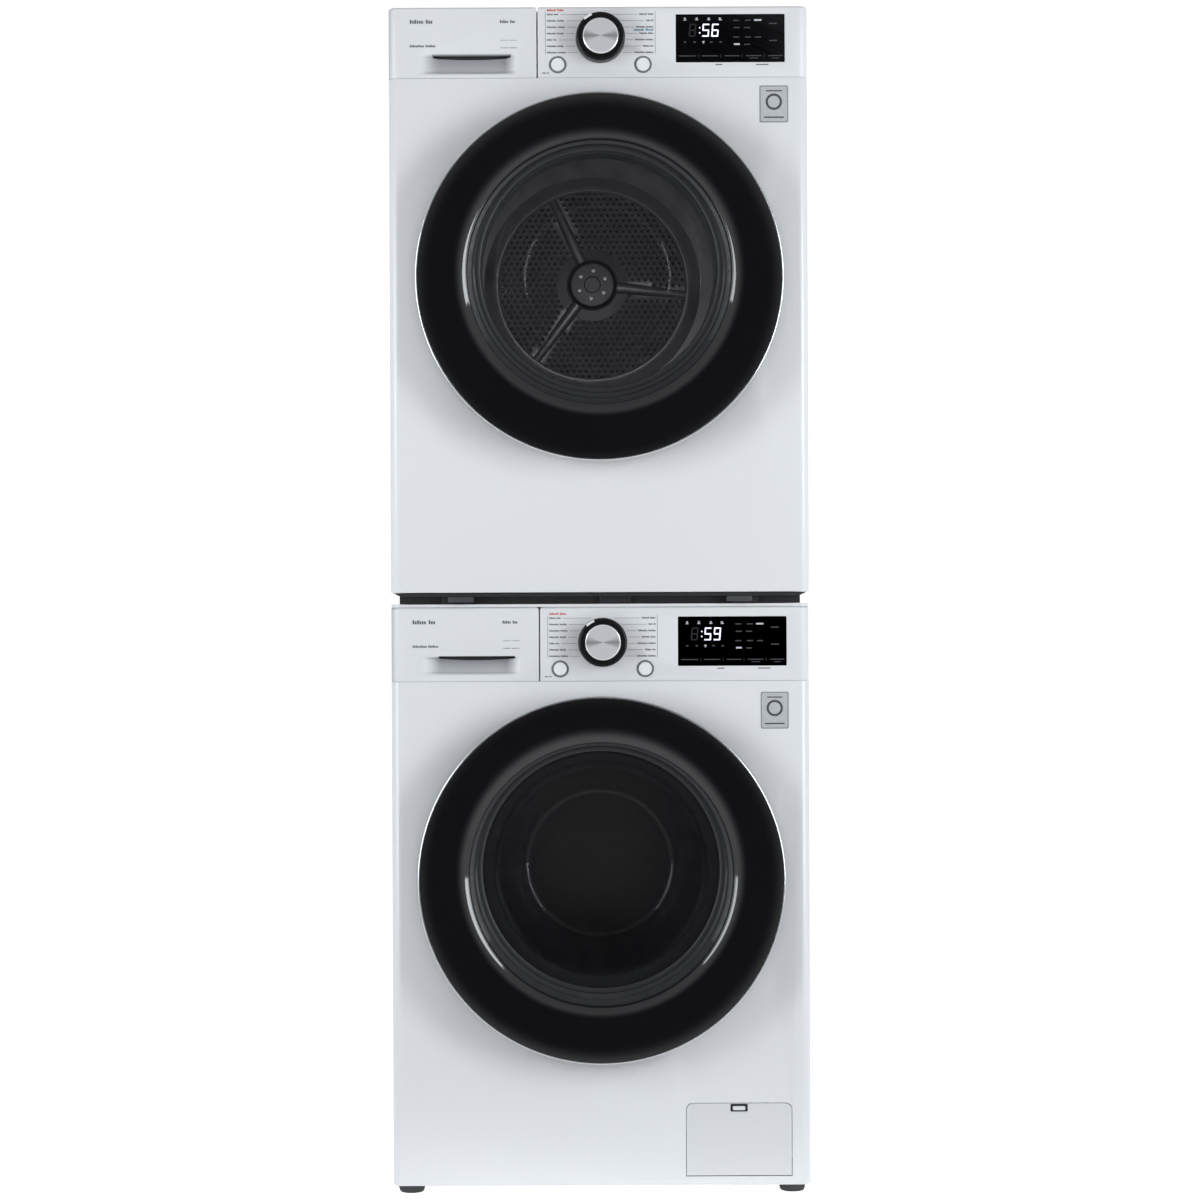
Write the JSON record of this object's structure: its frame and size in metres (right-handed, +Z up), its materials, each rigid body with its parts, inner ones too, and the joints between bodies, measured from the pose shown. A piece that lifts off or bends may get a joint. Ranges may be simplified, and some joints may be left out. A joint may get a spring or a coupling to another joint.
{
  "type": "washer dryer stack",
  "caption": "White front-loading washer with a heat-pump dryer stacked on it, with round black glass doors, control panels, drawers, drums and suspension.",
  "frame": {"origin": "middle of the footprint, on the floor under the feet", "axes": "+Z up, +X to the right of someone facing the fronts, -Y out of the fronts"},
  "size_m": [0.6, 0.685, 1.7],
  "materials": {
    "white_enamel": "smooth gloss white enamel",
    "white_plastic": "satin white moulded plastic",
    "black_gloss": "high gloss black",
    "display_glass": "black glass over a lit display",
    "silver_trim": "satin silver plating",
    "tinted_glass": "dark tinted moulded glass",
    "knob": "circular brushed cap in a black ring",
    "stainless": "polished stainless drum",
    "dark_drum": "dark satin steel drum",
    "dark_plastic": "matt black moulded plastic",
    "grey_plastic": "matt grey moulded plastic",
    "rubber": "matt dark rubber",
    "concrete": "cast concrete",
    "zinc_steel": "zinc plated steel",
    "copper": "copper windings",
    "aluminium": "plain aluminium fins",
    "clear_tank": "milky moulded plastic"
  },
  "bodies": {
    "root": {"dryer_bulkhead": "grey_plastic", "dryer_cabinet": "white_enamel", "dryer_compressor": "dark_plastic", "dryer_control_panel": "white_plastic", "dryer_display": "display_glass", "dryer_door_hinge": "zinc_steel", "dryer_front_panel": "white_enamel", "dryer_heat_exchanger": "aluminium", "dryer_lint_filter": "grey_plastic", "dryer_motor": "zinc_steel", "dryer_top_panel": "white_enamel", "stacking_frame": "dark_plastic", "washer_cabinet": "white_enamel", "washer_control_panel": "white_plastic", "washer_damper_left": "dark_plastic", "washer_damper_right": "dark_plastic", "washer_dispenser": "white_plastic", "washer_display": "display_glass", "washer_door_hinge": "zinc_steel", "washer_door_lock": "dark_plastic", "washer_drain_pump": "grey_plastic", "washer_front_panel": "white_enamel", "washer_gasket": "rubber", "washer_spring_left": "zinc_steel", "washer_spring_right": "zinc_steel", "washer_top_panel": "white_enamel"},
    "tub": {"washer_tub": "grey_plastic", "washer_counterweight": "concrete", "washer_motor_stator": "copper"},
    "washer_drum": {"washer_drum": "stainless", "washer_motor_rotor": "zinc_steel", "washer_lifter_1": "white_plastic", "washer_lifter_2": "white_plastic", "washer_lifter_3": "white_plastic"},
    "washer_door": {"washer_door_ring": "black_gloss", "washer_door_trim": "silver_trim", "washer_door_glass": "tinted_glass"},
    "detergent_drawer": {"washer_drawer_front": "white_plastic", "washer_drawer_tray": "white_plastic"},
    "washer_knob": {"washer_knob": "knob"},
    "washer_button_left": {"washer_button_left": "white_plastic"},
    "washer_button_right": {"washer_button_right": "white_plastic"},
    "filter_cover": {"washer_filter_cover": "white_plastic"},
    "pump_filter": {"washer_pump_filter": "white_plastic"},
    "foot_front_left": {"washer_foot_front_left": "rubber"},
    "foot_front_right": {"washer_foot_front_right": "rubber"},
    "foot_rear_left": {"washer_foot_rear_left": "rubber"},
    "foot_rear_right": {"washer_foot_rear_right": "rubber"},
    "dryer_drum": {"dryer_drum": "dark_drum", "dryer_drum_back": "dark_drum", "dryer_lifter_left": "dark_plastic", "dryer_lifter_right": "dark_plastic"},
    "dryer_door": {"dryer_door_ring": "black_gloss", "dryer_door_trim": "silver_trim", "dryer_door_glass": "tinted_glass"},
    "water_drawer": {"dryer_drawer_front": "white_plastic", "dryer_water_tank": "clear_tank"},
    "dryer_knob": {"dryer_knob": "knob"},
    "dryer_button_left": {"dryer_button_left": "white_plastic"},
    "dryer_button_right": {"dryer_button_right": "white_plastic"}
  },
  "joints": [
    {"name": "tub_bounce", "type": "slide", "parent": "root", "child": "tub", "axis": [0, 0, 1], "range_m": [-0.008, 0.008], "stiffness_N_per_m": 20000, "springref_m": 0.01955, "deforming": ["washer_spring_left", "washer_spring_right", "washer_damper_left", "washer_damper_right", "washer_gasket"]},
    {"name": "washer_drum_spin", "type": "hinge", "parent": "tub", "child": "washer_drum", "pos_m": [0, -0.0375, 0.465], "axis": [0, 1, 0], "continuous": true},
    {"name": "washer_door_swing", "type": "hinge", "parent": "root", "child": "washer_door", "pos_m": [-0.246, -0.3115, 0.452], "axis": [0, 0, -1], "range_deg": [0, 120]},
    {"name": "detergent_drawer_slide", "type": "slide", "parent": "root", "child": "detergent_drawer", "axis": [0, -1, 0], "range_m": [0, 0.24]},
    {"name": "washer_knob_turn", "type": "hinge", "parent": "root", "child": "washer_knob", "pos_m": [0.0035, -0.2875, 0.79], "axis": [0, 1, 0], "continuous": true},
    {"name": "washer_left_button_press", "type": "slide", "parent": "root", "child": "washer_button_left", "axis": [0, 1, 0], "range_m": [0, 0.0015], "stiffness_N_per_m": 300},
    {"name": "washer_right_button_press", "type": "slide", "parent": "root", "child": "washer_button_right", "axis": [0, 1, 0], "range_m": [0, 0.0015], "stiffness_N_per_m": 300},
    {"name": "filter_cover_drop", "type": "hinge", "parent": "root", "child": "filter_cover", "pos_m": [0.1965, -0.2855, 0.0265], "axis": [1, 0, 0], "range_deg": [0, 90]},
    {"name": "pump_filter_turn", "type": "hinge", "parent": "root", "child": "pump_filter", "pos_m": [0.196, -0.2375, 0.076], "axis": [0, 1, 0], "range_deg": [-360, 0]},
    {"name": "foot_front_left_level", "type": "slide", "parent": "root", "child": "foot_front_left", "axis": [0, 0, -1], "range_m": [0, 0.012]},
    {"name": "foot_front_right_level", "type": "slide", "parent": "root", "child": "foot_front_right", "axis": [0, 0, -1], "range_m": [0, 0.012]},
    {"name": "foot_rear_left_level", "type": "slide", "parent": "root", "child": "foot_rear_left", "axis": [0, 0, -1], "range_m": [0, 0.012]},
    {"name": "foot_rear_right_level", "type": "slide", "parent": "root", "child": "foot_rear_right", "axis": [0, 0, -1], "range_m": [0, 0.012]},
    {"name": "dryer_drum_spin", "type": "hinge", "parent": "root", "child": "dryer_drum", "pos_m": [0, -0.0475, 1.357], "axis": [0, 1, 0], "continuous": true},
    {"name": "dryer_door_swing", "type": "hinge", "parent": "root", "child": "dryer_door", "pos_m": [-0.246, -0.3215, 1.31], "axis": [0, 0, -1], "range_deg": [0, 120]},
    {"name": "water_drawer_slide", "type": "slide", "parent": "root", "child": "water_drawer", "axis": [0, -1, 0], "range_m": [0, 0.36]},
    {"name": "dryer_knob_turn", "type": "hinge", "parent": "root", "child": "dryer_knob", "pos_m": [0.0035, -0.2975, 1.654], "axis": [0, 1, 0], "continuous": true},
    {"name": "dryer_left_button_press", "type": "slide", "parent": "root", "child": "dryer_button_left", "axis": [0, 1, 0], "range_m": [0, 0.0015], "stiffness_N_per_m": 300},
    {"name": "dryer_right_button_press", "type": "slide", "parent": "root", "child": "dryer_button_right", "axis": [0, 1, 0], "range_m": [0, 0.0015], "stiffness_N_per_m": 300}
  ]
}
